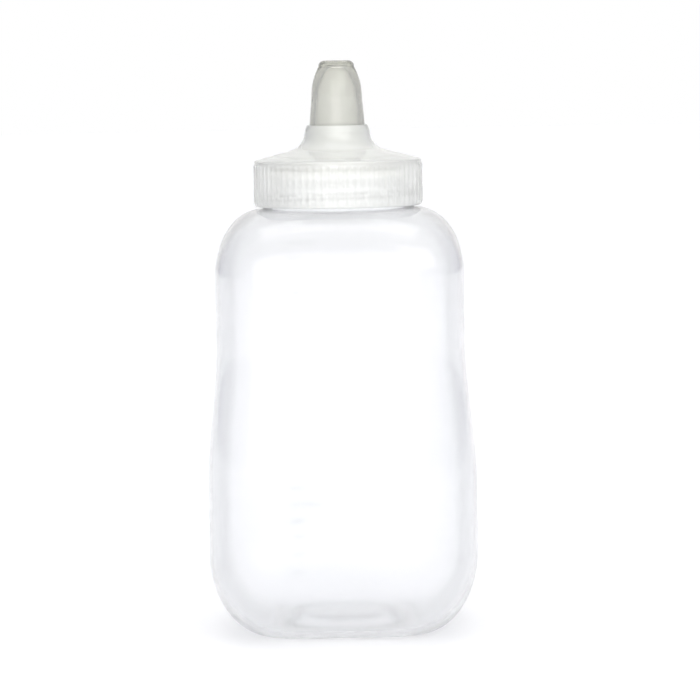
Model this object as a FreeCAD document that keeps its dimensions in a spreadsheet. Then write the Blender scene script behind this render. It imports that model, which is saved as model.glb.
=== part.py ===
"""Calf feeding bottle: a wide-necked plastic bottle with a hat-shaped screw cap, a soft teat and a valve set.

Frame: millimetres, +Z up, origin at the centre of the base that the bottle stands on. The front faces -Y.
The neck carries a seal, the valve plate and the teat's flange, and the screw cap clamps all three to its rim.
"""

import FreeCAD, Part
import math
import operator
import os
import Sketcher

PARTS = "parts"

# Every driving dimension, in millimetres, or degrees where the name says so.
DIMENSIONS = {
    # bottle body, a square with round corners that is slimmer above its waist
    "lower_half_width": 60.0,
    "upper_half_width": 55.4,
    "corner_share": 0.42,
    "neck_corner_share": 0.96,
    "heel_height": 38.0,
    "heel_run": 28.0,
    "waist_bottom": 68.0,
    "waist_top": 133.0,
    "shoulder_start": 161.5,
    "shoulder_top": 190.0,
    "shoulder_ledge": 0.5,
    "body_wall": 1.8,
    "neck_wall": 3.0,
    "floor_height": 2.4,
    "foot_half_width": 24.0,
    "foot_depth": 3.0,
    "foot_slope": 5.0,
    # bottle neck
    "neck_radius": 33.5,
    "neck_height": 14.6,
    "neck_root": 3.5,
    # screw threads
    "thread_pitch": 4.5,
    "thread_turns": 1.5,
    "thread_start": 194.8,
    "thread_depth": 1.7,
    "thread_root_half": 1.3,
    "thread_crest_half": 0.6,
    "thread_bite": 0.3,
    "thread_tip_gap": 0.45,
    "thread_offset": 1.85,
    # what the cap clamps, from the neck's rim up
    "seal_thickness": 1.2,
    "clamped_radius": 33.2,
    "plate_thickness": 1.4,
    "flange_thickness": 2.2,
    "flange_inner_radius": 24.2,
    "running_gap": 0.15,
    # screw cap
    "cap_radius": 37.6,
    "cap_skirt_bottom": 191.2,
    "cap_edge_height": 2.05,
    "cap_wall": 1.6,
    "cap_slope_degrees": 15.0,
    "clamp_inner_radius": 29.5,
    "crown_radius": 14.6,
    "crown_height": 15.0,
    "crown_lip": 2.6,
    "crown_lip_radius": 13.7,
    "cap_edge_round": 0.6,
    "cap_lip_round": 0.3,
    "rib_count": 72,
    "rib_radius": 0.55,
    "rib_bottom": 192.6,
    "rib_length": 16.8,
    # teat
    "teat_gap": 0.35,
    "teat_wall": 2.3,
    "teat_stem_top": 240.0,
    "teat_stem_radius": 11.3,
    "teat_taper_radius": 32.0,
    "teat_shoulder_radius": 7.8,
    "teat_shoulder_drop": 2.4,
    "teat_shoulder_round": 3.0,
    "teat_flat_radius": 5.2,
    "teat_top": 256.0,
    "teat_tip_wall": 3.0,
    "teat_inner_tip_radius": 4.4,
    "slit_length": 7.0,
    "slit_width": 0.35,
    "dimple_radius": 2.2,
    "dimple_depth": 0.6,
    # milk valve in the middle of the plate
    "milk_ball_radius": 5.0,
    "milk_ball_travel": 3.0,
    "milk_chamber_radius": 6.0,
    "milk_boss_radius": 8.0,
    "milk_boss_drop": 5.7,
    "milk_boss_rise": 4.0,
    "milk_port_radius": 3.4,
    "milk_port_length": 1.5,
    "ball_gap": 0.05,
    "cage_radius": 9.2,
    "cage_overlap": 3.5,
    "cage_top_thickness": 1.3,
    "cage_hole_radius": 3.6,
    "cage_slot_width": 2.6,
    "cage_slot_reach": 7.2,
    "cage_slot_count": 4,
    "stiffener_count": 6,
    "stiffener_width": 1.0,
    "stiffener_depth": 3.0,
    "stiffener_reach": 21.5,
    # vent valve near the plate's edge
    "vent_offset": 26.3,
    "vent_tube_radius": 3.4,
    "vent_tube_length": 7.2,
    "vent_chamber_radius": 2.2,
    "vent_ball_radius": 1.75,
    "vent_hole_radius": 0.8,
    "vent_hole_length": 1.6,
    "vent_plug_depth": 1.8,
    "vent_plug_head": 1.0,
    "vent_slot_half": 0.55,
    "vent_slot_depth": 0.8,
    "vent_groove_half": 0.7,
    "vent_groove_depth": 0.7,
    # how far a cutting tool runs past the face that it cuts
    "overrun": 1.0,
}

doc = FreeCAD.newDocument("CalfFeedingBottle")
sheet = doc.addObject("Spreadsheet::Sheet", "dims")
for row, (alias, number) in enumerate(DIMENSIONS.items(), start=1):
    sheet.set(f"A{row}", alias)
    sheet.set(f"B{row}", str(number))
    sheet.setAlias(f"B{row}", alias)
doc.recompute()


class Size:
    """A size worked out from the sheet: its number now, and the expression that a feature is bound to."""

    def __init__(self, number, text=None):
        self.number = float(number)
        self.text = str(number) if text is None else text

    def __add__(self, other):
        return combine(operator.add, "+", self, other)

    def __radd__(self, other):
        return combine(operator.add, "+", other, self)

    def __sub__(self, other):
        return combine(operator.sub, "-", self, other)

    def __rsub__(self, other):
        return combine(operator.sub, "-", other, self)

    def __mul__(self, other):
        return combine(operator.mul, "*", self, other)

    def __rmul__(self, other):
        return combine(operator.mul, "*", other, self)

    def __truediv__(self, other):
        return combine(operator.truediv, "/", self, other)

    def __rtruediv__(self, other):
        return combine(operator.truediv, "/", other, self)

    def __neg__(self):
        return combine(operator.sub, "-", 0, self)


def combine(operation, sign, left, right):
    left, right = (item if isinstance(item, Size) else Size(item) for item in (left, right))
    return Size(operation(left.number, right.number), f"({left.text} {sign} {right.text})")


class Cells:
    """The sheet's cells as sizes: cells.body_wall is the size in the cell with that alias."""

    def __getattr__(self, alias):
        return Size(getattr(sheet, alias), f"dims.{alias}")


def turned(function, angle):
    """The sine, cosine or tangent of an angle in degrees, as a size."""
    angle = angle if isinstance(angle, Size) else Size(angle)
    number = getattr(math, function)(math.radians(angle.number))
    return Size(number, f"{function}({angle.text} * 1 deg)")


def third_side(long_side, short_side):
    """The remaining side of a right-angled triangle."""
    square = long_side * long_side - short_side * short_side
    return Size(math.sqrt(square.number), f"sqrt({square.text})")


cells = Cells()

# Heights from the neck's rim up.
neck_rim = cells.shoulder_top + cells.neck_height
seal_top = neck_rim + cells.seal_thickness
plate_top = seal_top + cells.plate_thickness
flange_top = plate_top + cells.flange_thickness
clamp_height = flange_top + cells.running_gap
cap_edge = clamp_height + cells.cap_edge_height
crown_bend = clamp_height + cells.crown_height
crown_top = crown_bend + cells.crown_lip

# The cap's slope turns up into its crown along a round bend, whose centre all the parallel walls share.
slope_sine, slope_cosine, slope_tangent = (turned(f, cells.cap_slope_degrees) for f in ("sin", "cos", "tan"))
bend_rise = crown_bend - cap_edge - (cells.cap_radius - cells.crown_radius) * slope_tangent
bend_radius = bend_rise * slope_cosine / (1 - slope_sine)
bend_centre = cells.crown_radius + bend_radius

# The milk valve, from its boss's lower face up, and the vent valve, from its tube's lower end up.
boss_bottom = seal_top - cells.milk_boss_drop
boss_top = plate_top + cells.milk_boss_rise
milk_seat = boss_bottom + cells.milk_port_length
milk_ball_height = milk_seat - cells.milk_port_radius + cells.milk_ball_radius * math.sqrt(2) + cells.ball_gap
vent_bottom = seal_top - cells.vent_tube_length
vent_plug_top = vent_bottom + cells.vent_plug_depth
vent_ball_height = vent_plug_top + cells.vent_ball_radius + cells.ball_gap


def new_body(label):
    body = doc.addObject("PartDesign::Body", label)
    body.Label = label
    return body


def new_sketch(body, name, role="XZ_Plane", height=None):
    """A sketch on one of the body's own origin planes, lifted off it if a height is given."""
    sketch = body.newObject("Sketcher::SketchObject", name)
    plane = next(p for p in body.Origin.OriginFeatures if p.Role == role)
    sketch.AttachmentSupport = [(plane, "")]
    sketch.MapMode = "FlatFace"
    if height is not None:
        sketch.setExpression("AttachmentOffset.Base.z", height.text)
    return sketch


def bind(sketch, size, *constraint):
    """Adds a dimension to a sketch and binds it to the sheet."""
    index = sketch.addConstraint(Sketcher.Constraint(*constraint, size.number))
    sketch.setExpression(f"Constraints[{index}]", size.text)


def hold_point(sketch, edge, vertex, across, up):
    """Holds one vertex of an edge at a place, on the axis itself where that is 0."""
    for kind, size, axis in (("DistanceX", across, -2), ("DistanceY", up, -1)):
        if isinstance(size, Size):
            bind(sketch, size, kind, edge, vertex)
        else:
            sketch.addConstraint(Sketcher.Constraint("PointOnObject", edge, vertex, axis))


def point_at(across, up):
    return FreeCAD.Vector(*(s.number if isinstance(s, Size) else s for s in (across, up)), 0)


def arc_between(start, end, radius, side):
    """The shorter arc from start to end with its centre on that side of the way, and its first vertex."""
    chord = end - start
    rise = math.sqrt(radius**2 - chord.Length**2 / 4)
    left = FreeCAD.Vector(-chord.y, chord.x, 0).normalize()
    centre = (start + end) * 0.5 + left * (rise if side == "left" else -rise)
    first, last = (start, end) if side == "left" else (end, start)
    angles = [math.atan2(p.y - centre.y, p.x - centre.x) for p in (first, last)]
    circle = Part.Circle(centre, FreeCAD.Vector(0, 0, 1), radius)
    return Part.ArcOfCircle(circle, *angles), (1 if side == "left" else 2)


def draw_outline(sketch, corners):
    """A closed outline, fully held by the sheet. A corner is (across, up) where a straight edge leaves it,
    or (across, up, radius, side) where an arc does, with its centre on that side of the way."""
    points = [point_at(*corner[:2]) for corner in corners]
    edges = []
    for corner, start, end in zip(corners, points, points[1:] + points[:1]):
        if len(corner) == 2:
            edges.append((sketch.addGeometry(Part.LineSegment(start, end)), 1))
        else:
            arc, first_vertex = arc_between(start, end, corner[2].number, corner[3])
            edges.append((sketch.addGeometry(arc), first_vertex))
    for (edge, vertex), (following, following_vertex) in zip(edges, edges[1:] + edges[:1]):
        meeting = Sketcher.Constraint("Coincident", edge, 3 - vertex, following, following_vertex)
        sketch.addConstraint(meeting)
    for (edge, vertex), corner in zip(edges, corners):
        hold_point(sketch, edge, vertex, *corner[:2])
        if len(corner) > 2:
            bind(sketch, corner[2], "Radius", edge)
    return sketch


def draw_box(sketch, left, right, half):
    """A rectangle from left to right that reaches half each side of the X axis."""
    return draw_outline(sketch, [(left, -half), (right, -half), (right, half), (left, half)])


def draw_circle(sketch, radius, across=0, up=0):
    edge = sketch.addGeometry(Part.Circle(point_at(across, up), FreeCAD.Vector(0, 0, 1), radius.number))
    hold_point(sketch, edge, 3, across, up)
    bind(sketch, radius, "Radius", edge)
    return sketch


def revolve(body, name, corners):
    """A solid of revolution about the body's Z axis."""
    sketch = draw_outline(new_sketch(body, name + "_profile"), corners)
    feature = body.newObject("PartDesign::Revolution", name)
    feature.Profile = sketch
    feature.ReferenceAxis = (sketch, ["V_Axis"])
    feature.Angle = 360
    return feature


def extrude(body, sketch, name, length, cut=False, down=False):
    """A Pad or a Pocket along Z from a level sketch, upwards unless down is asked for."""
    feature = body.newObject("PartDesign::Pocket" if cut else "PartDesign::Pad", name)
    feature.Profile = sketch
    feature.setExpression("Length", length.text)
    feature.Reversed = down != cut
    return feature


def round_pin(body, name, radius, bottom, length, across=0, **options):
    """A level circle, padded or cut along Z."""
    sketch = draw_circle(new_sketch(body, name + "_circle", "XY_Plane", bottom), radius, across)
    return extrude(body, sketch, name, length, **options)


def pattern(body, feature, name, count):
    """Repeats a feature evenly round the Z axis."""
    doc.recompute()
    ring = body.newObject("PartDesign::PolarPattern", name)
    ring.Originals = [feature]
    ring.Axis = (next(a for a in body.Origin.OriginFeatures if a.Role == "Z_Axis"), [""])
    ring.Angle = 360
    ring.setExpression("Occurrences", count.text)
    body.Tip = ring
    return ring


def rounded_square(body, name, height, half_width, corner_share):
    """A level square section, whose corner radius is that share of its half width."""
    radius = half_width * corner_share
    inner = half_width - radius
    corners = []
    for side, turn in ((1, 1), (-1, 1), (-1, -1), (1, -1)):
        upright, level = (half_width * side, inner * turn), (inner * side, half_width * turn)
        first, last = (upright, level) if side == turn else (level, upright)
        corners += [(*first, radius, "left"), last]
    return draw_outline(new_sketch(body, name, "XY_Plane", height), corners)


def loft(body, name, sections, cut=False):
    feature = body.newObject("PartDesign::SubtractiveLoft" if cut else "PartDesign::AdditiveLoft", name)
    feature.Profile = sections[0]
    feature.Sections = sections[1:]
    return feature


def screw_thread(body, name, root, crest, middle, root_half, crest_half):
    """A right-handed ridge round the Z axis, from its root radius to its crest radius."""
    sketch = draw_outline(new_sketch(body, name + "_profile"), [
        (root, middle - root_half),
        (crest, middle - crest_half),
        (crest, middle + crest_half),
        (root, middle + root_half),
    ])
    feature = body.newObject("PartDesign::AdditiveHelix", name)
    feature.Profile = sketch
    feature.ReferenceAxis = (sketch, ["V_Axis"])
    feature.Mode = "pitch-turns-angle"
    feature.setExpression("Pitch", cells.thread_pitch.text)
    feature.setExpression("Turns", cells.thread_turns.text)


def round_circles(body, base, name, fillet_radius, places):
    """Rounds the circular edges of a feature that lie round the Z axis at the given radii and heights."""
    doc.recompute()
    tolerance = 0.02
    names = []
    for number, edge in enumerate(base.Shape.Edges, start=1):
        if not isinstance(edge.Curve, Part.Circle):
            continue
        for radius, height in places:
            far_off = abs(edge.Curve.Radius - radius.number) + abs(edge.Curve.Center.z - height.number)
            if far_off < tolerance:
                names.append(f"Edge{number}")
    fillet = body.newObject("PartDesign::Fillet", name)
    fillet.Base = (base, names)
    fillet.setExpression("Radius", fillet_radius.text)
    return fillet


def body_sections(body, name, wall, neck_wall, floor):
    """Level sections of the bottle's outside, or of its inside where the walls and the floor are not 0."""
    lower = cells.lower_half_width - wall
    upper = cells.upper_half_width - wall
    neck = cells.neck_radius + cells.shoulder_ledge - neck_wall
    shoulder_rise = cells.shoulder_top - wall - cells.shoulder_start
    places = []
    for angle in (0, 22.5, 45, 67.5, 90):  # the heel, a quarter of an ellipse
        height = floor + (cells.heel_height - floor) * (1 - turned("cos", angle))
        places.append((height, lower - cells.heel_run * (1 - turned("sin", angle)), cells.corner_share))
    places.append(((cells.heel_height + cells.waist_bottom) / 2, lower, cells.corner_share))
    for angle in (0, 45, 90, 135, 180):  # the waist, half a cosine wave
        height = cells.waist_bottom + (cells.waist_top - cells.waist_bottom) * angle / 180
        half_width = upper + (lower - upper) * (1 + turned("cos", angle)) / 2
        places.append((height, half_width, cells.corner_share))
    places.append(((cells.waist_top + cells.shoulder_start) / 2, upper, cells.corner_share))
    for angle in (0, 22.5, 45, 67.5, 90):  # the shoulder, which turns from square to round
        height = cells.shoulder_start + shoulder_rise * turned("sin", angle)
        half_width = neck + (upper - neck) * turned("cos", angle)
        rounding = (cells.neck_corner_share - cells.corner_share) * (1 - turned("cos", angle))
        places.append((height, half_width, cells.corner_share + rounding))
    return [rounded_square(body, f"{name}_{i:02d}", *place) for i, place in enumerate(places)]


def make_bottle():
    """The blow-moulded bottle: a hollow shell with a threaded neck and a base pushed up in its middle."""
    body = new_body("bottle")
    neck_bore = cells.neck_radius - cells.neck_wall
    loft(body, "outside", body_sections(body, "outer", Size(0), Size(0), Size(0)))
    revolve(body, "neck", [
        (neck_bore - cells.overrun, cells.shoulder_top - cells.neck_root),
        (cells.neck_radius, cells.shoulder_top - cells.neck_root),
        (cells.neck_radius, neck_rim),
        (neck_bore - cells.overrun, neck_rim),
    ])
    screw_thread(
        body, "neck_thread",
        root=cells.neck_radius - cells.thread_bite,
        crest=cells.neck_radius + cells.thread_depth,
        middle=cells.thread_start,
        root_half=cells.thread_root_half,
        crest_half=cells.thread_crest_half,
    )
    neck_step = cells.neck_wall + cells.shoulder_ledge
    inner_sections = body_sections(body, "inner", cells.body_wall, neck_step, cells.floor_height)
    loft(body, "inside", inner_sections, cut=True)
    round_pin(body, "bore", neck_bore, neck_rim, cells.neck_height + cells.neck_root, cut=True, down=True)
    for name, lift, cut in (("push_up", cells.floor_height, False), ("foot_hollow", Size(0), True)):
        wide = cells.foot_half_width + lift
        low = rounded_square(body, name + "_low", lift / 2, wide, cells.corner_share)
        top = lift + cells.foot_depth
        high = rounded_square(body, name + "_high", top, wide - cells.foot_slope, cells.corner_share)
        loft(body, name, [low, high], cut=cut)
    return body


def make_cap():
    """The screw cap: a threaded skirt under a sloping top that turns up into a crown round the teat."""
    body = new_body("screw_cap")
    skirt_bore = cells.neck_radius + cells.thread_depth + cells.thread_tip_gap
    crown_bore = cells.crown_radius - cells.cap_wall
    inner_bend = bend_radius + cells.cap_wall
    revolve(body, "shell", [
        (skirt_bore, cells.cap_skirt_bottom),
        (cells.cap_radius, cells.cap_skirt_bottom),
        (cells.cap_radius, cap_edge),
        (*slope_end(bend_radius), bend_radius, "right"),
        (cells.crown_radius, crown_bend),
        (cells.crown_lip_radius, crown_top),
        (crown_bore, crown_top),
        (crown_bore, crown_bend, inner_bend, "left"),
        slope_end(inner_bend),
        (cells.clamp_inner_radius, slope_height(inner_bend, cells.clamp_inner_radius)),
        (cells.clamp_inner_radius, clamp_height),
        (skirt_bore, clamp_height),
    ])
    half_step = 180 / cells.rib_count
    place = [cells.cap_radius * turned(function, half_step) for function in ("cos", "sin")]
    sketch = new_sketch(body, "rib_circle", "XY_Plane", cells.rib_bottom)
    circle = draw_circle(sketch, cells.rib_radius, *place)
    rib = extrude(body, circle, "rib", cells.rib_length)
    ribs = pattern(body, rib, "ribs", cells.rib_count)
    edge_round = round_circles(body, ribs, "edge_round", cells.cap_edge_round, [(cells.cap_radius, cap_edge)])
    round_circles(body, edge_round, "lip_rounds", cells.cap_lip_round, [
        (cells.crown_lip_radius, crown_top),
        (crown_bore, crown_top),
        (cells.cap_radius, cells.cap_skirt_bottom),
    ])
    screw_thread(
        body, "cap_thread",
        root=skirt_bore + cells.thread_bite,
        crest=cells.neck_radius + cells.thread_tip_gap,
        middle=cells.thread_start - cells.thread_offset,
        root_half=cells.thread_root_half,
        crest_half=cells.thread_crest_half,
    )
    return body


def slope_end(bend):
    """Where a wall parallel to the cap's slope leaves it for a bend of that radius."""
    return bend_centre - bend * slope_sine, crown_bend - bend * slope_cosine


def slope_height(bend, radius):
    """The height at that radius of the slope that runs into a bend."""
    across, up = slope_end(bend)
    return up - (radius - across) * slope_tangent


def make_teat():
    """The teat: a flange, a base that follows the cap's slope, and a tapered stem slit across its tip."""
    body = new_body("teat")
    outer_bend = bend_radius + cells.cap_wall + cells.teat_gap
    inner_bend = outer_bend + cells.teat_wall
    shoulder = cells.clamp_inner_radius - cells.teat_gap
    inner_tip = cells.teat_top - cells.teat_tip_wall
    tip_shoulder = cells.teat_top - cells.teat_shoulder_drop
    revolve(body, "shell", [
        (cells.flange_inner_radius, plate_top),
        (cells.clamped_radius, plate_top),
        (cells.clamped_radius, flange_top),
        (shoulder, flange_top),
        (shoulder, slope_height(outer_bend, shoulder)),
        (*slope_end(outer_bend), outer_bend, "right"),
        (bend_centre - outer_bend, crown_bend),
        (cells.teat_stem_radius, cells.teat_stem_top, cells.teat_taper_radius, "left"),
        (cells.teat_shoulder_radius, tip_shoulder, cells.teat_shoulder_round, "left"),
        (cells.teat_flat_radius, cells.teat_top),
        (0, cells.teat_top),
        (0, inner_tip),
        (cells.teat_inner_tip_radius, inner_tip),
        (cells.teat_stem_radius - cells.teat_wall, cells.teat_stem_top),
        (bend_centre - inner_bend, crown_bend, inner_bend, "left"),
        slope_end(inner_bend),
        (cells.flange_inner_radius, slope_height(inner_bend, cells.flange_inner_radius)),
    ])
    round_pin(body, "dimple", cells.dimple_radius, cells.teat_top, cells.dimple_depth, cut=True, down=True)
    long, wide = cells.slit_length / 2, cells.slit_width / 2
    for name, reach, half in (("slit_across", long, wide), ("slit_along", wide, long)):
        sketch = draw_box(new_sketch(body, name + "_box", "XY_Plane", cells.teat_top), -reach, reach, half)
        extrude(body, sketch, name, cells.teat_tip_wall + cells.overrun, cut=True, down=True)
    return body


def make_seal():
    """The flat sealing ring between the neck's rim and the valve plate."""
    body = new_body("sealing_ring")
    ring_bore = cells.neck_radius - cells.neck_wall
    revolve(body, "ring", [
        (ring_bore, neck_rim),
        (cells.clamped_radius, neck_rim),
        (cells.clamped_radius, seal_top),
        (ring_bore, seal_top),
    ])
    return body


def make_valve_plate():
    """The valve plate: a disc with the milk valve's seat in its middle and the vent's tube near its edge."""
    body = new_body("valve_plate")
    cone_top = milk_seat + cells.milk_chamber_radius - cells.milk_port_radius
    revolve(body, "disc", [
        (cells.milk_port_radius, boss_bottom),
        (cells.milk_boss_radius, boss_bottom),
        (cells.milk_boss_radius, seal_top),
        (cells.clamped_radius, seal_top),
        (cells.clamped_radius, plate_top),
        (cells.milk_boss_radius, plate_top),
        (cells.milk_boss_radius, boss_top),
        (cells.milk_chamber_radius, boss_top),
        (cells.milk_chamber_radius, cone_top),
        (cells.milk_port_radius, milk_seat),
    ])
    box = draw_box(
        new_sketch(body, "stiffener_box", "XY_Plane", seal_top),
        cells.milk_boss_radius - cells.overrun, cells.stiffener_reach, cells.stiffener_width / 2,
    )
    stiffener = extrude(body, box, "stiffener", cells.stiffener_depth, down=True)
    pattern(body, stiffener, "stiffeners", cells.stiffener_count)
    round_pin(body, "vent_tube", cells.vent_tube_radius, seal_top, cells.vent_tube_length,
              cells.vent_offset, down=True)
    box = draw_box(
        new_sketch(body, "vent_groove_box", "XY_Plane", plate_top),
        cells.vent_offset, cells.clamped_radius + cells.overrun, cells.vent_groove_half,
    )
    extrude(body, box, "vent_groove", cells.vent_groove_depth, cut=True, down=True)
    round_pin(body, "vent_hole", cells.vent_hole_radius, plate_top, cells.vent_hole_length + cells.overrun,
              cells.vent_offset, cut=True, down=True)
    cut_vent_chamber(body)
    return body


def cut_vent_chamber(body):
    """Turns the vent's chamber out of its tube, with a seat that closes in a cone towards the hole above."""
    wide = cells.vent_offset + cells.vent_chamber_radius
    narrow = cells.vent_offset + cells.vent_hole_radius
    start = vent_bottom - cells.overrun
    cone_top = plate_top - cells.vent_hole_length
    cone_bottom = cone_top - (cells.vent_chamber_radius - cells.vent_hole_radius)
    sketch = draw_outline(new_sketch(body, "vent_chamber_profile"), [
        (cells.vent_offset, cone_top),
        (cells.vent_offset, start),
        (wide, start),
        (wide, cone_bottom),
        (narrow, cone_top),
    ])
    chamber = body.newObject("PartDesign::Groove", "vent_chamber")
    chamber.Profile = sketch
    chamber.ReferenceAxis = (sketch, ["Edge1"])
    chamber.Angle = 360


def make_cage():
    """The cage that snaps over the milk valve's boss and holds its ball in, slotted to let milk past."""
    body = new_body("valve_cage")
    ball_stop = milk_ball_height + cells.milk_ball_travel + cells.ball_gap
    ceiling = ball_stop + third_side(cells.milk_ball_radius, cells.cage_hole_radius)
    top = ceiling + cells.cage_top_thickness
    revolve(body, "collar", [
        (cells.milk_boss_radius, boss_top - cells.cage_overlap),
        (cells.cage_radius, boss_top - cells.cage_overlap),
        (cells.cage_radius, top),
        (cells.cage_hole_radius, top),
        (cells.cage_hole_radius, ceiling),
        (cells.milk_chamber_radius, ceiling),
        (cells.milk_chamber_radius, boss_top),
        (cells.milk_boss_radius, boss_top),
    ])
    box = draw_box(
        new_sketch(body, "slot_box", "XY_Plane", top),
        cells.cage_hole_radius - cells.overrun, cells.cage_slot_reach, cells.cage_slot_width / 2,
    )
    slot = extrude(body, box, "slot", top - ceiling + cells.overrun, cut=True, down=True)
    pattern(body, slot, "slots", cells.cage_slot_count)
    return body


def make_vent_plug():
    """The plug pressed into the vent's tube, with a hole and a cross cut that the ball can't close."""
    body = new_body("vent_plug")
    middle = cells.vent_offset
    head_bottom = vent_bottom - cells.vent_plug_head
    whole = cells.vent_plug_depth + cells.vent_plug_head
    round_pin(body, "head", cells.vent_tube_radius, head_bottom, cells.vent_plug_head, middle)
    round_pin(body, "stem", cells.vent_chamber_radius, head_bottom, whole, middle)
    round_pin(body, "hole", cells.vent_hole_radius, vent_plug_top, whole, middle, cut=True, down=True)
    reach = cells.vent_tube_radius
    narrow = cells.vent_slot_half
    for name, along, half in (("slot_across", reach, narrow), ("slot_along", narrow, reach)):
        sketch = new_sketch(body, name + "_box", "XY_Plane", vent_plug_top)
        draw_box(sketch, middle - along, middle + along, half)
        extrude(body, sketch, name, cells.vent_slot_depth, cut=True, down=True)
    return body


def make_ball(label, radius, height, across=Size(0)):
    ball = doc.addObject("Part::Sphere", label)
    ball.Label = label
    ball.setExpression("Radius", radius.text)
    ball.setExpression("Placement.Base.x", across.text)
    ball.setExpression("Placement.Base.z", height.text)
    return ball


pieces = [
    make_bottle(),
    make_cap(),
    make_teat(),
    make_seal(),
    make_valve_plate(),
    make_cage(),
    make_vent_plug(),
    make_ball("milk_ball", cells.milk_ball_radius, milk_ball_height),
    make_ball("vent_ball", cells.vent_ball_radius, vent_ball_height, cells.vent_offset),
]
doc.recompute()

for item in doc.Objects:
    if {"Invalid", "Error"} & set(item.State):
        raise RuntimeError(f"{item.Label} failed: {item.State}")
for piece in pieces:
    if piece.Shape.isNull() or not piece.Shape.isValid() or not piece.Shape.Solids:
        raise RuntimeError(f"{piece.Label} has no valid solid")

os.makedirs(PARTS, exist_ok=True)
for piece in pieces:
    piece.Shape.exportStep(os.path.join(PARTS, piece.Label + ".step"))
    box = piece.Shape.BoundBox
    print(f"{piece.Label}: {piece.Shape.Volume:.0f} mm3, z {box.ZMin:.2f} to {box.ZMax:.2f}")
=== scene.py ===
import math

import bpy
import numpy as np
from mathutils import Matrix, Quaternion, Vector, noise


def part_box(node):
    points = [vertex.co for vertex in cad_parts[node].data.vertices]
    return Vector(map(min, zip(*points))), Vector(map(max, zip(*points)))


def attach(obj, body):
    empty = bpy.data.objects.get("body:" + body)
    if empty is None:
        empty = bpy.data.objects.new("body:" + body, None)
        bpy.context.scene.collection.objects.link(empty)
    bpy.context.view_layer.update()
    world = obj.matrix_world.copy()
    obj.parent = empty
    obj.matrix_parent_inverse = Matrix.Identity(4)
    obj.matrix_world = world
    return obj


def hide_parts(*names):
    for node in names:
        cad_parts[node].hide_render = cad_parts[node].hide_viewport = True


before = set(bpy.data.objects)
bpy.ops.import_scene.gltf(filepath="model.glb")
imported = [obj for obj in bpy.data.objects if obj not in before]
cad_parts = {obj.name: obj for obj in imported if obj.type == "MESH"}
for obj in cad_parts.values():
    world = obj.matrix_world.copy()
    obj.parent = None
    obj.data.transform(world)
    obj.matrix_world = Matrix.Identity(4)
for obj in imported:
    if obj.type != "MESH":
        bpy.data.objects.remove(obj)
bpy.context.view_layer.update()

# Looks of the calf feeding bottle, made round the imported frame: metres, +Z up, the front faces -Y.
#
# The bottle, the cap and the teat are rebuilt as finished meshes in the places of their CAD nodes. The seal,
# the valve plate, the cage, the plug and the balls keep their CAD meshes and get their materials here.
# Shapes are worked out in millimetres, as rings of points up or round the bottle's axis.

MM = 0.001
TAU = 2 * math.pi

# Sizes from the frame, in millimetres.
BOTTLE_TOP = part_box("bottle")[1] / MM
CAP_LOW, CAP_TOP = (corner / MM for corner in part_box("screw_cap"))
TEAT_LOW, TEAT_TOP = (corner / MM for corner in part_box("teat"))

# Bottle body, in millimetres: a square with round corners, slimmer above its waist.
LOWER_HALF, UPPER_HALF = 60.0, 55.4
SQUARENESS = 5.3  # the power of the superellipse that the body's section follows
HEEL_HEIGHT, HEEL_RUN = 38.0, 28.0
WAIST_BOTTOM, WAIST_TOP = 68.0, 133.0
SHOULDER_START, SHOULDER_TOP = 161.5, 190.0
BODY_WALL, NECK_WALL, FLOOR_HEIGHT = 1.8, 3.0, 2.4
FOOT_HALF, FOOT_DEPTH, FOOT_SLOPE = 24.0, 3.0, 5.0
FOOT_SQUARENESS = 4.0
ROUNDING_POWER = 1.4  # how soon the shoulder's section turns from square to round
UNEVENNESS, UNEVEN_SIZE = 0.28, 42.0  # how far a blown wall wanders in and out, and over what length

# Marks of the mould, in millimetres.
SEAM_HEIGHT, SEAM_HALF = 0.24, 0.5
PINCH_HEIGHT, PINCH_HALF, PINCH_REACH, PINCH_FADE = 0.5, 0.55, 17.0, 3
RIDGE_POWER = 0.6  # under 1, so that a ridge has full sides and a blunt crest

# Graduations on the back panel: one short mark every 100 ml and one long mark every 500 ml.
MARK_STEP, LONG_MARK_STEP, LAST_MARK = 100, 500, 2000
MARK_LEFT, SHORT_MARK, LONG_MARK = -26.0, 8.0, 15.0
MARK_HEIGHT, MARK_HALF = 0.45, 0.6

# Neck and screw threads, in millimetres.
NECK_RADIUS = 33.5
NECK_LEDGE, BORE_LEDGE = 0.9, 0.5  # how much wider the shoulder ends than the neck and than its bore
NECK_ROOT_ROUND, RIM_ROUND = 1.4, 0.6
PITCH, TURNS = 4.5, 1.5
THREAD_START, THREAD_DEPTH, THREAD_OFFSET = 194.8, 1.7, 1.85
THREAD_CREST, THREAD_ROOT = 0.6, 1.25
THREAD_TIP_GAP = 0.45
THREAD_FADE = 0.22  # the share of its length over which each end of a thread dies away

# Screw cap, in millimetres.
CAP_RADIUS, CAP_BORE, CAP_WALL = 37.6, 35.65, 1.6
SKIRT_ROUND = 0.5
CLAMP_HEIGHT, CLAMP_RADIUS = 209.55, 29.5
CAP_EDGE, CAP_EDGE_ROUND = 211.6, 1.1
CAP_SLOPE = math.radians(15)
CROWN_RADIUS, CROWN_BEND = 14.6, 224.55
CROWN_LIP_RADIUS, CROWN_LIP_ROUND = 13.7, 0.33
RIB_COUNT, RIB_HEIGHT = 72, 0.35
RIB_STEEPNESS, RIB_FULLNESS = 0.75, 0.35  # of a rib's sides, and of its flat crest against the groove
RIBS_ABOVE_BOTTOM, RIBS_BELOW_EDGE, RIB_FADE = 1.4, 2.1, 0.9

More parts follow.
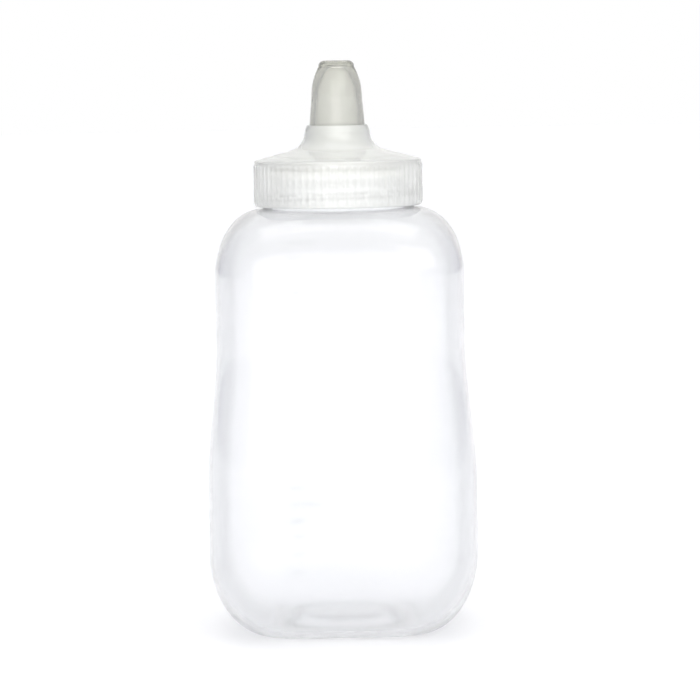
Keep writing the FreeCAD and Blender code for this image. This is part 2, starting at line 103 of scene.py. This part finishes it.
# Teat, in millimetres.
TEAT_GAP, TEAT_WALL = 0.35, 2.3
FLANGE_TOP, FLANGE_INNER = 209.4, 24.2
STEM_TOP, STEM_RADIUS = 240.0, 11.3
TIP_RADIUS, TIP_DROP, TIP_WALL = 7.9, 2.6, 3.0
FLANGE_ROUND, NOSE_ROUND = 0.4, 2.9
TAPER_POWER = 2.1  # of the curve along which the stem draws in to the tip
DIMPLE_RADIUS, DIMPLE_DEPTH = 2.4, 0.6
SLIT_LENGTH, SLIT_WIDTH = 7.0, 0.35

# Materials: where the clouds' noise turns from one tone to the other, how much finer the gloss's clouds
# are, the depth in millimetres that light reaches in a scattering piece, and how much wider and deeper the
# broad waves of the skin are than its fine grain.
CLOUD_TURN = 0.25, 0.75
GLOSS_FINENESS = 2.3
SCATTER_DEPTH = 4
WAVE_WIDTH, WAVE_DEPTH = 12, 5
WAVE_STRENGTH, GRAIN_STRENGTH = 0.3, 0.4

# Fineness of the meshes: points round each piece, and millimetres from ring to ring along a thread.
BOTTLE_AROUND, CAP_AROUND_EACH_RIB, TEAT_AROUND = 224, 8, 128
NECK_STEP, CAP_BORE_STEP = 0.2, 0.3
MARK_AROUND, MARK_RINGS = 12, 20


# ---------------------------------------------------------------- meshes

def spread_angles(count, extra=()):
    """Angles round the axis, evenly spread, with a few more close to each of the extra ones."""
    angles = [TAU * i / count for i in range(count)]
    for middle in extra:
        angles += [(middle + math.radians(step)) % TAU for step in (-0.5, -0.3, -0.15, 0.15, 0.3, 0.5)]
    return np.array(sorted(angles))


def superellipse(half, power, angles):
    """Radius of a superellipse of that half width at each angle."""
    return half / (np.abs(np.cos(angles)) ** power + np.abs(np.sin(angles)) ** power) ** (1 / power)


def arc_points(centre, radius, start, end, count):
    """Points (radius, height) along an arc in a section, from one angle in degrees to another."""
    return [
        (centre[0] + radius * math.cos(math.radians(a)), centre[1] + radius * math.sin(math.radians(a)))
        for a in np.linspace(start, end, count)
    ]


def line_points(start, end, count):
    """Points along a straight stretch, without its end."""
    start, end = np.array(start), np.array(end)
    return [tuple(start + (end - start) * i / count) for i in range(count)]


def surface_object(name, shells, closed=False):
    """A smooth mesh of one or more shells, each a stack of rings of points in millimetres. A closed shell's
    last ring meets its first; an open one has both its ends shut with a fan."""
    points, faces = [], []
    for shell in shells:
        first = len(points)
        rings = np.asarray(shell, float)
        levels, around = rings.shape[:2]
        points += rings.reshape(-1, 3).tolist()
        for level in range(levels if closed else levels - 1):
            low, high = first + level * around, first + (level + 1) % levels * around
            for i in range(around):
                j = (i + 1) % around
                faces.append((low + i, low + j, high + j, high + i))
        if closed:
            continue
        for level, step in ((0, -1), (levels - 1, 1)):
            middle, ring = len(points), first + level * around
            points.append(rings[level].mean(0).tolist())
            for i in range(around):
                j = (i + step) % around
                faces.append((middle, ring + i, ring + j))
    mesh = bpy.data.meshes.new(name)
    mesh.from_pydata([[c * MM for c in point] for point in points], [], faces)
    mesh.shade_smooth()
    mesh.update()
    piece = bpy.data.objects.new(name, mesh)
    bpy.context.scene.collection.objects.link(piece)
    return piece


def round_ring(angles, height, radius):
    radius = radius * np.ones(len(angles))
    return np.stack([radius * np.cos(angles), radius * np.sin(angles), np.full(len(angles), height)], 1)


def square_ring(angles, height, half, power):
    return round_ring(angles, height, superellipse(half, power, angles))


def thread_height(angles, height, start):
    """Height share of a right-handed thread that starts at +X, round a ring at one height."""
    best = np.zeros(len(angles))
    for turn in range(math.ceil(TURNS) + 1):
        along = angles / TAU + turn
        fade = smooth(np.minimum(along, TURNS - along) / (TURNS * THREAD_FADE))
        off = np.abs(height - start - along * PITCH)
        best = np.maximum(best, smooth((THREAD_ROOT - off) / (THREAD_ROOT - THREAD_CREST)) * fade)
    return best


def smooth(share):
    """A share that eases in at 0 and out at 1."""
    share = np.clip(share, 0, 1)
    return share * share * (3 - 2 * share)


# ---------------------------------------------------------------- bottle

def body_levels(wall, neck_half, floor, fineness=1):
    """(height, half width, power) up the bottle's outside, or its inside where wall and floor aren't 0.

    The levels run up the heel, the lower body, the waist, the upper body and the shoulder.
    """
    lower, upper = LOWER_HALF - wall, UPPER_HALF - wall
    levels = []
    for t in np.linspace(0, math.pi / 2, 18 * fineness):
        height = floor + (HEEL_HEIGHT - floor) * (1 - math.cos(t))
        levels.append((height, lower - HEEL_RUN * (1 - math.sin(t)), SQUARENESS))
    levels += [(z, lower, SQUARENESS) for z in np.linspace(HEEL_HEIGHT, WAIST_BOTTOM, 8 * fineness)[1:]]
    for t in np.linspace(0, math.pi, 18 * fineness)[1:]:
        height = WAIST_BOTTOM + (WAIST_TOP - WAIST_BOTTOM) * t / math.pi
        levels.append((height, upper + (lower - upper) * (1 + math.cos(t)) / 2, SQUARENESS))
    levels += [(z, upper, SQUARENESS) for z in np.linspace(WAIST_TOP, SHOULDER_START, 8 * fineness)[1:]]
    for t in np.linspace(0, math.pi / 2, 20 * fineness)[1:]:
        height = SHOULDER_START + (SHOULDER_TOP - wall - SHOULDER_START) * math.sin(t)
        half = neck_half + (upper - neck_half) * math.cos(t)
        levels.append((height, half, 2 + (SQUARENESS - 2) * math.cos(t) ** ROUNDING_POWER))
    return levels


NECK_BORE = NECK_RADIUS - NECK_WALL
OUTSIDE = body_levels(0, NECK_RADIUS + NECK_LEDGE, 0, fineness=2)
INSIDE = body_levels(BODY_WALL, NECK_BORE + BORE_LEDGE, FLOOR_HEIGHT)


def settle(ring):
    """Moves a ring in and out a little, as the unevenness of a blown wall does."""
    moved = ring.copy()
    for i, point in enumerate(ring):
        ripple = noise.noise(Vector(point) / UNEVEN_SIZE) * UNEVENNESS
        moved[i, :2] += point[:2] / max(np.hypot(*point[:2]), 1.0) * ripple
    return moved


def seamed(ring, angles, height=SEAM_HEIGHT):
    """Adds the mould's parting line, a fine ridge where the ring crosses the XZ plane."""
    ridge = height * np.clip(1 - np.abs(ring[:, 1]) / SEAM_HALF, 0, 1) ** RIDGE_POWER
    moved = ring.copy()
    moved[:, 0] += ridge * np.sign(np.cos(angles))
    return moved


def pinched(ring):
    """Adds the ridge under the foot where the mould pinched the parison shut."""
    across = np.clip(1 - np.abs(ring[:, 1]) / PINCH_HALF, 0, 1) ** RIDGE_POWER
    along = smooth((PINCH_REACH - np.abs(ring[:, 0])) / PINCH_FADE)
    moved = ring.copy()
    moved[:, 2] -= PINCH_HEIGHT * across * along
    return moved


def foot_rings(angles):
    """The underside, from its middle out to the flat ring that the bottle stands on."""
    edge = FOOT_HALF - FOOT_SLOPE
    # The flat roof of the push-up, with its rings close together in the middle, for the pinch-off.
    levels = [(FOOT_DEPTH, half) for half in (0.4, 0.8, 1.4, 2.2, 4, 8, 13, edge - 2)]
    # Its rounded edge, its slope, and the rounded inner edge of the standing ring.
    levels += [(FOOT_DEPTH - 0.12, edge), (FOOT_DEPTH - 0.55, edge + 1.3), (FOOT_DEPTH / 2, edge + 2.7)]
    levels += [(0.5, FOOT_HALF - 1), (0.12, FOOT_HALF - 0.2), (0, FOOT_HALF + 0.7), (0, FOOT_HALF + 4)]
    return [pinched(square_ring(angles, height, half, FOOT_SQUARENESS)) for height, half in levels]


def neck_rings(angles):
    """The neck's outside with its thread, the rim, and the bore back down to the shoulder."""
    rim, root, edge = BOTTLE_TOP.z, NECK_ROOT_ROUND, RIM_ROUND
    rings = []
    for radius, height in arc_points((NECK_RADIUS + root, SHOULDER_TOP + root), root, 255, 180, 6):
        rings.append(seamed(round_ring(angles, height, radius), angles, SEAM_HEIGHT / 2))
    for height in np.arange(SHOULDER_TOP + root + NECK_STEP, rim - edge - 0.1, NECK_STEP):
        ridge = THREAD_DEPTH * thread_height(angles, height, THREAD_START)
        rings.append(round_ring(angles, height, NECK_RADIUS + ridge))
    for radius, height in arc_points((NECK_RADIUS - edge, rim - edge), edge, 0, 90, 5):
        rings.append(round_ring(angles, height, radius))
    for radius, height in arc_points((NECK_BORE + edge, rim - edge), edge, 90, 180, 5):
        rings.append(round_ring(angles, height, radius))
    for height in np.linspace(rim - 3, SHOULDER_TOP - 0.5, 6):
        rings.append(round_ring(angles, height, NECK_BORE))
    return rings


def make_bottle():
    """The bottle: its outside from the middle of the foot to the rim, then its inside down to the floor."""
    angles = spread_angles(BOTTLE_AROUND, (0, math.pi))
    rings = foot_rings(angles)
    for height, half, power in OUTSIDE:
        rings.append(seamed(settle(square_ring(angles, height, half, power)), angles))
    rings += neck_rings(angles)
    for height, half, power in INSIDE[::-1]:
        rings.append(settle(square_ring(angles, height, half, power)))
    # The floor, which rises over the push-up.
    lift = FLOOR_HEIGHT + FOOT_DEPTH
    edge = FOOT_HALF - FOOT_SLOPE + FLOOR_HEIGHT
    rise = (FLOOR_HEIGHT + 0.6, edge + 4.2), (lift - 0.6, edge + 1.2), (lift, edge - 1), (lift, 12)
    for height, half in rise:
        rings.append(square_ring(angles, height, half, FOOT_SQUARENESS))
    piece = surface_object("bottle_shell", [rings])
    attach(piece, "bottle")
    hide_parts("bottle")
    return piece


def mark_heights():
    """(millilitres, height) of each graduation, found by filling the inside level by level."""
    angles = spread_angles(90)
    areas = [math.pi * np.mean(superellipse(half, power, angles) ** 2) for _, half, power in INSIDE]
    heights = [level[0] for level in INSIDE]
    push_up = FOOT_DEPTH * math.pi * np.mean(superellipse(FOOT_HALF, FOOT_SQUARENESS, angles) ** 2)
    # Areas are in square millimetres, and a millilitre is 1000 cubic ones.
    held = [-push_up / 1000]
    for i in range(1, len(INSIDE)):
        held.append(held[-1] + (heights[i] - heights[i - 1]) * (areas[i] + areas[i - 1]) / 2000)
    volumes = range(MARK_STEP, LAST_MARK + 1, MARK_STEP)
    return [(volume, np.interp(volume, held, heights)) for volume in volumes]


def make_marks():
    """The graduations: plain ridges that stand on the back panel and follow it."""
    levels = [level[0] for level in OUTSIDE]
    halves = [level[1] for level in OUTSIDE]
    powers = [level[2] for level in OUTSIDE]
    section = np.linspace(0, TAU, MARK_AROUND, endpoint=False)
    shells = []
    for volume, height in mark_heights():
        length = SHORT_MARK if volume % LONG_MARK_STEP else LONG_MARK
        rings = []
        for step in np.linspace(0, 1, MARK_RINGS):
            # The mark keeps its full size along its length, and is blunt at its ends.
            swell = max(math.sin(math.pi * step), 0.0) ** 0.25 if 0 < step < 1 else 0.15
            x = MARK_LEFT + length * step
            up = height + MARK_HALF * swell * np.cos(section)
            half, power = np.interp(up, levels, halves), np.interp(up, levels, powers)
            y = (half ** power - abs(x) ** power) ** (1 / power)
            skin = settle(np.stack([np.full(len(section), x), y, up], 1))
            skin[:, 1] += MARK_HEIGHT * swell * np.sin(section)
            rings.append(skin)
        shells.append(rings[::-1])
    piece = surface_object("graduations", shells)
    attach(piece, "bottle")
    return piece


# ---------------------------------------------------------------- cap and teat

BEND_RISE = CROWN_BEND - CAP_EDGE - (CAP_RADIUS - CROWN_RADIUS) * math.tan(CAP_SLOPE)
BEND_RADIUS = BEND_RISE * math.cos(CAP_SLOPE) / (1 - math.sin(CAP_SLOPE))
BEND_CENTRE = CROWN_RADIUS + BEND_RADIUS


def slope_end(bend):
    """Where a wall parallel to the cap's slope leaves it for a bend of that radius."""
    return BEND_CENTRE - bend * math.sin(CAP_SLOPE), CROWN_BEND - bend * math.cos(CAP_SLOPE)


def slope_height(bend, radius):
    """The height, at that radius, of the slope that runs into a bend."""
    across, up = slope_end(bend)
    return up - (radius - across) * math.tan(CAP_SLOPE)


def bend_points(bend, count):
    """The bend from the slope up to the crown."""
    return arc_points((BEND_CENTRE, CROWN_BEND), bend, 270 - math.degrees(CAP_SLOPE), 180, count)


def cap_outside():
    """The cap's outer profile, from the bottom of its skirt up to the middle of its lip."""
    bottom, top, lip = CAP_LOW.z, CAP_TOP.z, CROWN_LIP_ROUND
    turn = 90 - math.degrees(CAP_SLOPE)
    drop = CAP_EDGE_ROUND * math.tan(math.radians(turn) / 2)
    points = arc_points((CAP_RADIUS - SKIRT_ROUND, bottom + SKIRT_ROUND), SKIRT_ROUND, 270, 360, 5)
    points += [(CAP_RADIUS, z) for z in np.linspace(bottom + 0.8, CAP_EDGE - drop - 0.3, 24)]
    points += arc_points((CAP_RADIUS - CAP_EDGE_ROUND, CAP_EDGE - drop), CAP_EDGE_ROUND, 0, turn, 8)
    start = CAP_RADIUS - 2.4
    points += line_points((start, slope_height(BEND_RADIUS, start)), slope_end(BEND_RADIUS), 12)
    points += bend_points(BEND_RADIUS, 16)
    return points + arc_points((CROWN_LIP_RADIUS - lip, top - lip), lip, 0, 90, 6)


def cap_inside():
    """The cap's inner profile, from its lip down to the bottom of its skirt."""
    bottom, top, lip = CAP_LOW.z, CAP_TOP.z, CROWN_LIP_ROUND
    bore, bend = CROWN_RADIUS - CAP_WALL, BEND_RADIUS + CAP_WALL
    points = arc_points((bore + lip, top - lip), lip, 90, 180, 6)
    points += bend_points(bend, 14)[::-1]
    points += line_points(slope_end(bend), (CLAMP_RADIUS, slope_height(bend, CLAMP_RADIUS)), 6)[1:]
    points += [(CLAMP_RADIUS, CLAMP_HEIGHT + 1.0), (CLAMP_RADIUS, CLAMP_HEIGHT + 0.2)]
    points += [(radius, CLAMP_HEIGHT) for radius in (CLAMP_RADIUS + 0.2, CAP_BORE - 3, CAP_BORE - 0.3)]
    points += [(CAP_BORE, z) for z in np.arange(CLAMP_HEIGHT - 0.3, bottom + SKIRT_ROUND, -CAP_BORE_STEP)]
    return points + [(CAP_BORE + 0.1, bottom + 0.1), (CAP_BORE + 0.4, bottom)]


def make_cap():
    """The screw cap, one closed section turned round the axis, with grip ribs outside and a thread inside."""
    angles = spread_angles(RIB_COUNT * CAP_AROUND_EACH_RIB)
    rings = []
    rib_low, rib_high = CAP_LOW.z + RIBS_ABOVE_BOTTOM, CAP_EDGE - RIBS_BELOW_EDGE
    grip = smooth(np.cos(angles * RIB_COUNT) * RIB_STEEPNESS + RIB_FULLNESS)
    for radius, height in cap_outside():
        on_skirt = radius > CAP_RADIUS - 0.01
        fade = smooth(min(height - rib_low, rib_high - height) / RIB_FADE + 0.5) if on_skirt else 0
        rings.append(round_ring(angles, height, radius + RIB_HEIGHT * grip * fade))
    depth = CAP_BORE - NECK_RADIUS - THREAD_TIP_GAP
    for radius, height in cap_inside():
        on_bore = abs(radius - CAP_BORE) < 0.01
        ridge = depth * thread_height(angles, height, THREAD_START - THREAD_OFFSET) if on_bore else 0
        rings.append(round_ring(angles, height, radius - ridge))
    piece = surface_object("cap_shell", [rings], closed=True)
    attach(piece, "cap")
    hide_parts("screw_cap")
    return piece


def teat_outside():
    """The teat's outer profile, from the flange's lower inner edge up to the middle of the tip."""
    bend = BEND_RADIUS + CAP_WALL + TEAT_GAP
    shoulder = CLAMP_RADIUS - TEAT_GAP
    bottom, top, flange, edge = TEAT_LOW.z, TEAT_TOP.z, TEAT_TOP.x, FLANGE_ROUND
    points = [(FLANGE_INNER + 0.3, bottom), (flange - 0.3, bottom)]
    points += arc_points((flange - edge, FLANGE_TOP - edge), edge, 0, 90, 4)
    points += [(shoulder + 0.3, FLANGE_TOP), (shoulder, FLANGE_TOP + 0.3)]
    points += line_points((shoulder, slope_height(bend, shoulder) - 0.2), slope_end(bend), 8)
    points += bend_points(bend, 14)
    points += line_points((BEND_CENTRE - bend, CROWN_BEND), (STEM_RADIUS, STEM_TOP), 14)[1:]
    # The stem draws in along a curve that leaves its straight part smoothly.
    rise, run = TEAT_TOP.z - TIP_DROP - STEM_TOP, STEM_RADIUS - TIP_RADIUS
    points += [(STEM_RADIUS - run * t ** TAPER_POWER, STEM_TOP + rise * t) for t in np.linspace(0, 1, 16)]
    nose = NOSE_ROUND
    points += arc_points((TIP_RADIUS - nose + 0.25, top - nose), nose, 20, 90, 10)
    # The top, with its dimple.
    for t in np.linspace(0.15, 1, 8):
        reach = 4.2 * (1 - t) + 0.05
        points.append((reach, top - DIMPLE_DEPTH * float(smooth((DIMPLE_RADIUS + 0.8 - reach) / 2))))
    return points


def teat_inside():
    """The teat's inner profile, from the middle of the tip down to the flange."""
    bend = BEND_RADIUS + CAP_WALL + TEAT_GAP + TEAT_WALL
    roof, bore = TEAT_TOP.z - TIP_WALL, STEM_RADIUS - TEAT_WALL
    points = [(0.1, roof), (2.4, roof), (3.6, roof - 0.2), (4.4, roof - 0.8)]
    for t in np.linspace(0.1, 1, 10):
        radius = 4.6 + (bore - 4.6) * math.sin(t * math.pi / 2) ** 0.9
        points.append((radius, roof - 1.0 - (roof - 1.0 - STEM_TOP) * t))
    points += bend_points(bend, 12)[::-1]
    return points + [(FLANGE_INNER, slope_height(bend, FLANGE_INNER)), (FLANGE_INNER, TEAT_LOW.z + 0.3)]


def make_teat():
    """The soft teat, with a cross slit cut right through the dimple in its tip."""
    angles = spread_angles(TEAT_AROUND)
    profile = teat_inside() + teat_outside()
    piece = surface_object("teat_skin", [[round_ring(angles, height, radius) for radius, height in profile]])
    for turn in (0, math.pi / 2):
        cut_slit(piece, turn)
    piece.data.shade_smooth()
    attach(piece, "teat_unit")
    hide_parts("teat")
    return piece


def cut_slit(piece, turn):
    """Cuts one thin slot through the tip with a boolean, then removes its cutter."""
    half, wide = SLIT_LENGTH / 2, SLIT_WIDTH / 2
    spin = Quaternion((0, 0, 1), turn)
    box = [[spin @ Vector((x, y, z)) for x, y in ((-half, -wide), (half, -wide), (half, wide), (-half, wide))]
           for z in (TEAT_TOP.z - TIP_WALL - 2, TEAT_TOP.z + 1)]
    cutter = surface_object("slit", [[[tuple(corner) for corner in ring] for ring in box]])
    cut = piece.modifiers.new("slit", "BOOLEAN")
    cut.operation, cut.solver, cut.object = "DIFFERENCE", "EXACT", cutter
    bpy.context.view_layer.update()
    shape = piece.evaluated_get(bpy.context.evaluated_depsgraph_get())
    piece.data, uncut = bpy.data.meshes.new_from_object(shape), piece.data
    piece.modifiers.clear()
    bpy.data.meshes.remove(uncut)
    bpy.data.objects.remove(cutter)


# ---------------------------------------------------------------- materials

def new_material(name):
    material = bpy.data.materials.new(name)
    material.use_nodes = True
    tree = material.node_tree
    return material, tree, tree.nodes["Principled BSDF"]


def add_node(tree, kind, **values):
    """A node with its inputs set by name, or linked where the value is an output of another node."""
    node = tree.nodes.new(kind)
    for name, value in values.items():
        socket = node.inputs[name.replace("_", " ")]
        if isinstance(value, bpy.types.NodeSocket):
            tree.links.new(value, socket)
        else:
            socket.default_value = value
    return node


def object_noise(tree, scale, detail=3.0, roughness=0.5):
    """Noise that is fixed to the piece, with its scale in features per metre."""
    place = tree.nodes.new("ShaderNodeTexCoord")
    return add_node(tree, "ShaderNodeTexNoise", Vector=place.outputs["Object"], Scale=scale, Detail=detail,
                    Roughness=roughness).outputs["Fac"]


def ramp(tree, factor, start, end, low=0.35, high=0.65):
    """A colour ramp between two colours or two grey levels."""
    node = add_node(tree, "ShaderNodeValToRGB", Fac=factor)
    for element, place, colour in zip(node.color_ramp.elements, (low, high), (start, end)):
        element.position = place
        element.color = (*(colour if isinstance(colour, tuple) else (colour,) * 3), 1)
    return node.outputs["Color"]


def bump(tree, shader, height, strength, distance, under=None):
    node = add_node(tree, "ShaderNodeBump", Height=height, Strength=strength, Distance=distance)
    if under is not None:
        tree.links.new(under, node.inputs["Normal"])
    tree.links.new(node.outputs["Normal"], shader.inputs["Normal"])
    return node.outputs["Normal"]


def let_light_in(tree, shader, share):
    """Lets that share of the lamps' light straight through a clear wall, so that it lights what is inside."""
    path = tree.nodes.new("ShaderNodeLightPath")
    clear = tree.nodes.new("ShaderNodeBsdfTransparent")
    passed = tree.nodes.new("ShaderNodeMath")
    passed.operation = "MULTIPLY"
    passed.inputs[1].default_value = share
    mix = tree.nodes.new("ShaderNodeMixShader")
    output = tree.nodes["Material Output"].inputs["Surface"]
    links = (
        (path.outputs["Is Shadow Ray"], passed.inputs[0]),
        (passed.outputs[0], mix.inputs[0]),
        (shader.outputs[0], mix.inputs[1]),
        (clear.outputs[0], mix.inputs[2]),
        (mix.outputs[0], output),
    )
    for source, socket in links:
        tree.links.new(source, socket)


def darken_by_depth(material, colour, density):
    """Takes more light the longer its way inside the piece, as cloudy rubber does, at a density per metre."""
    tree = material.node_tree
    depth = add_node(tree, "ShaderNodeVolumeAbsorption", Color=(*colour, 1), Density=density)
    tree.links.new(depth.outputs["Volume"], tree.nodes["Material Output"].inputs["Volume"])


def plastic(name, tones, gloss, transmission=0.0, scatter=0.3, ior=1.5, cloud=18.0, grain=900.0,
            grain_depth=0.02, light_in=0.0):
    """Moulded plastic or rubber: cloudy colour, uneven gloss, a fine skin texture and light in its depth.

    tones and gloss are pairs between which a noise moves the colour and the roughness. cloud and grain are
    the scales of the clouds and of the skin, per metre, and grain_depth is in millimetres. light_in is the
    share of the lamps' light that goes straight through.
    """
    material, tree, shader = new_material(name)
    colour = ramp(tree, object_noise(tree, cloud, 4.0), *tones, *CLOUD_TURN)
    tree.links.new(colour, shader.inputs["Base Color"])
    roughness = ramp(tree, object_noise(tree, cloud * GLOSS_FINENESS, 4.0), *gloss, *CLOUD_TURN)
    tree.links.new(roughness, shader.inputs["Roughness"])
    shader.inputs["IOR"].default_value = ior
    shader.inputs["Transmission Weight"].default_value = transmission
    shader.inputs["Subsurface Weight"].default_value = scatter
    shader.inputs["Subsurface Radius"].default_value = (1.0, 1.0, 1.0)
    shader.inputs["Subsurface Scale"].default_value = SCATTER_DEPTH * MM
    waves = object_noise(tree, grain / WAVE_WIDTH, 2.0)
    broad = bump(tree, shader, waves, WAVE_STRENGTH, grain_depth * WAVE_DEPTH * MM)
    bump(tree, shader, object_noise(tree, grain, 2.0), GRAIN_STRENGTH, grain_depth * MM, broad)
    if light_in:
        let_light_in(tree, shader, light_in)
    return material


def dress(piece, material):
    """Gives a piece or a carried-over CAD node its one material."""
    piece.data.materials.clear()
    piece.data.materials.append(material)


# ---------------------------------------------------------------- studio

FLOOR_REACH = 9.0
GLOW_REACH = 0.15, 1.2  # the distances in metres between which the floor's light grows
FLOOR_GLOW = (0.11, 0.31)  # the floor's own light, near the bottle and far from it
SKY_MIDDLE, SKY_SIDES = (1.0, 1.0, 1.0), (0.36, 0.37, 0.43)
SKY_TURN = 0.3, 0.8  # how far to the side, from 0 to 1, the sky starts and ends its change
SKY_STRENGTH = 0.95
VIEW_DISTANCE, VIEW_ELEVATION, VIEW_LEAN = 1.6, math.radians(5), math.radians(0.95)
SENSOR_WIDTH = 36  # in millimetres
CLIP = 0.05, 40  # in metres
VIEW_HEIGHT = 1.2332  # what the camera sees, as a share of the bottle's height
VIEW_CENTRE = (0.0041, 0.491)  # sideways in metres, and up as a share of the bottle's height


def make_floor():
    """A plain pale floor that runs on past every view, and glows white in the distance."""
    mesh = bpy.data.meshes.new("floor")
    corners = [(-1, -1, 0), (1, -1, 0), (1, 1, 0), (-1, 1, 0)]
    mesh.from_pydata([[c * FLOOR_REACH for c in corner] for corner in corners], [], [(0, 1, 2, 3)])
    floor = bpy.data.objects.new("floor", mesh)
    bpy.context.scene.collection.objects.link(floor)
    material, tree, shader = new_material("floor_paper")
    tone = ramp(tree, object_noise(tree, 1.5), (0.93, 0.93, 0.935), (0.94, 0.94, 0.94))
    tree.links.new(tone, shader.inputs["Base Color"])
    shader.inputs["Roughness"].default_value = 0.9
    shader.inputs["Specular IOR Level"].default_value = 0.1
    shader.inputs["Emission Color"].default_value = (1, 1, 1, 1)
    place = tree.nodes.new("ShaderNodeTexCoord")
    away = tree.nodes.new("ShaderNodeVectorMath")
    away.operation = "LENGTH"
    tree.links.new(place.outputs["Object"], away.inputs[0])
    glow = add_node(tree, "ShaderNodeMapRange", Value=away.outputs["Value"])
    for name, value in zip(("From Min", "From Max", "To Min", "To Max"), (*GLOW_REACH, *FLOOR_GLOW)):
        glow.inputs[name].default_value = value
    tree.links.new(glow.outputs["Result"], shader.inputs["Emission Strength"])
    dress(floor, material)


def soft_light(name, place, size, power, target=(0, 0, 0.12)):
    light = bpy.data.lights.new(name, "AREA")
    light.shape = "RECTANGLE"
    light.size, light.size_y = size
    light.energy = power
    lamp = bpy.data.objects.new(name, light)
    lamp.location = place
    lamp.rotation_euler = (Vector(target) - Vector(place)).to_track_quat("-Z", "Y").to_euler()
    bpy.context.scene.collection.objects.link(lamp)


def make_world():
    """Light from all round, darker at both sides, with plain white behind the object."""
    world = bpy.data.worlds.new("studio")
    bpy.context.scene.world = world
    world.use_nodes = True
    tree = world.node_tree
    tree.nodes.clear()
    place = tree.nodes.new("ShaderNodeTexCoord")
    direction = add_node(tree, "ShaderNodeSeparateXYZ", Vector=place.outputs["Generated"])
    sideways = tree.nodes.new("ShaderNodeMath")
    sideways.operation = "ABSOLUTE"
    tree.links.new(direction.outputs["X"], sideways.inputs[0])
    sky = ramp(tree, sideways.outputs[0], SKY_MIDDLE, SKY_SIDES, *SKY_TURN)
    light = add_node(tree, "ShaderNodeBackground", Color=sky, Strength=SKY_STRENGTH)
    seen = add_node(tree, "ShaderNodeBackground", Color=(1, 1, 1, 1), Strength=1.0)
    path = tree.nodes.new("ShaderNodeLightPath")
    mix = tree.nodes.new("ShaderNodeMixShader")
    output = tree.nodes.new("ShaderNodeOutputWorld")
    links = (
        (path.outputs["Is Camera Ray"], mix.inputs[0]),
        (light.outputs[0], mix.inputs[1]),
        (seen.outputs[0], mix.inputs[2]),
        (mix.outputs[0], output.inputs["Surface"]),
    )
    for source, socket in links:
        tree.links.new(source, socket)


def make_camera():
    """A long lens, a little above level, square to the front panel."""
    data = bpy.data.cameras.new("camera")
    data.sensor_width = SENSOR_WIDTH
    data.lens = SENSOR_WIDTH * VIEW_DISTANCE / (TEAT_TOP.z * MM * VIEW_HEIGHT)
    data.clip_start, data.clip_end = CLIP
    camera = bpy.data.objects.new("camera", data)
    sideways, up = VIEW_CENTRE
    back = Vector((0, -math.cos(VIEW_ELEVATION), math.sin(VIEW_ELEVATION)))
    camera.location = Vector((sideways, 0, TEAT_TOP.z * MM * up)) + back * VIEW_DISTANCE
    camera.rotation_euler = (Quaternion(back, -VIEW_LEAN) @ (-back).to_track_quat("-Z", "Y")).to_euler()
    bpy.context.scene.collection.objects.link(camera)
    bpy.context.scene.camera = camera


make_camera()
make_world()
make_floor()
soft_light("key", (0.9, -1.5, 1.2), (1.2, 1.2), 8)
soft_light("front", (-0.2, -2.0, 0.6), (1.6, 1.6), 12)
soft_light("top", (0.0, 0.1, 1.9), (1.4, 1.4), 8)

bottle_plastic = plastic(
    "bottle_plastic", ((0.92, 0.925, 0.935), (0.94, 0.942, 0.95)), (0.09, 0.16),
    transmission=0.86, scatter=0.0, ior=1.45, light_in=0.9,
)
cap_plastic = plastic(
    "cap_plastic", ((0.975, 0.98, 0.955), (0.985, 0.99, 0.97)), (0.10, 0.18),
    transmission=0.68, scatter=0.0, cloud=40.0, grain=1400.0, grain_depth=0.012, light_in=0.95,
)
teat_rubber = plastic(
    "teat_rubber", ((0.92, 0.92, 0.895), (0.955, 0.955, 0.93)), (0.14, 0.22),
    transmission=0.84, scatter=0.0, ior=1.41, cloud=60.0, light_in=0.6,
)
darken_by_depth(teat_rubber, (0.69, 0.69, 0.62), 165)
seal_rubber = plastic("seal_rubber", ((0.82, 0.81, 0.78), (0.86, 0.85, 0.82)), (0.5, 0.6), cloud=60.0)
valve_plastic = plastic(
    "valve_plastic", ((0.86, 0.86, 0.84), (0.90, 0.90, 0.88)), (0.29, 0.38),
    transmission=0.2, cloud=60.0,
)
ball_plastic = plastic("ball_plastic", ((0.86, 0.86, 0.84), (0.90, 0.90, 0.88)), (0.15, 0.25), cloud=90.0)
vent_steel = plastic(
    "vent_steel", ((0.62, 0.63, 0.65), (0.70, 0.71, 0.72)), (0.12, 0.2), scatter=0.0, cloud=200.0,
)
vent_steel.node_tree.nodes["Principled BSDF"].inputs["Metallic"].default_value = 1.0

dress(make_bottle(), bottle_plastic)
dress(make_marks(), bottle_plastic)
dress(make_cap(), cap_plastic)
dress(make_teat(), teat_rubber)
for node, material in (
    ("sealing_ring", seal_rubber), ("valve_plate", valve_plastic), ("valve_cage", valve_plastic),
    ("vent_plug", valve_plastic), ("milk_ball", ball_plastic), ("vent_ball", vent_steel),
):
    dress(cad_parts[node], material)

bpy.context.scene.view_settings.view_transform = "Standard"
